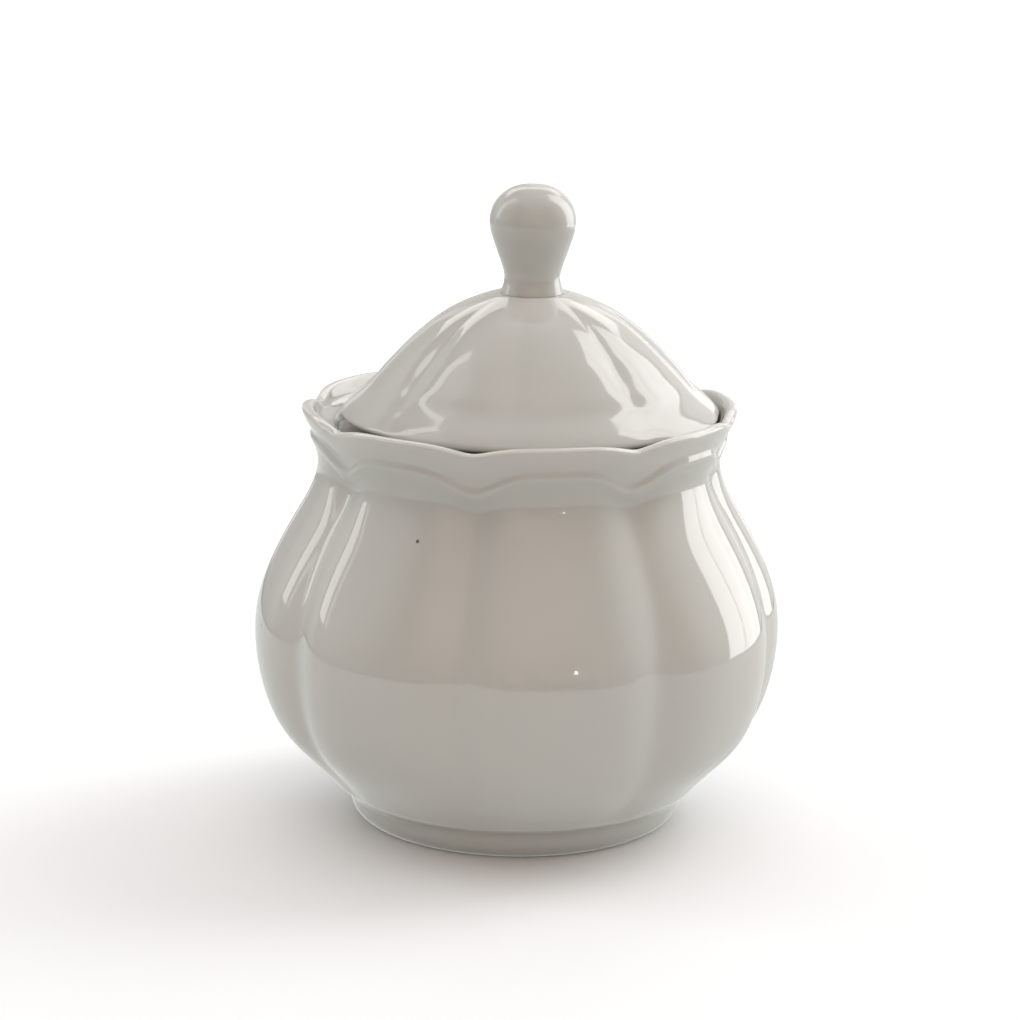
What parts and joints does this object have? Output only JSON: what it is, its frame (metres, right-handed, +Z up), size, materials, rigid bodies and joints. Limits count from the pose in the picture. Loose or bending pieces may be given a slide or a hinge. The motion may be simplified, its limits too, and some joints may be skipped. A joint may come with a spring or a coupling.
{
  "type": "sugar bowl",
  "caption": "Lobed porcelain sugar bowl with a flared scalloped lip and a foot ring, and a loose domed lid with a bulb-shaped knob.",
  "frame": {"origin": "middle of the foot ring's flat face, on the surface that the bowl stands on", "axes": "+Z up through the bowl, -Y towards the viewer, +X to the viewer's right, the side the lid lies nearer to"},
  "size_m": [0.1034, 0.1034, 0.1255],
  "materials": {
    "porcelain": "glossy clear glaze over white porcelain, bare on the foot ring's flat face"
  },
  "bodies": {
    "bowl": {"bowl": "porcelain"},
    "lid": {"lid": "porcelain", "lid_knob": "porcelain"}
  },
  "joints": [
    {"name": "lid_lift", "type": "slide", "parent": "bowl", "child": "lid", "axis": [0, 0, 1], "range_m": [0, 0.06]}
  ]
}
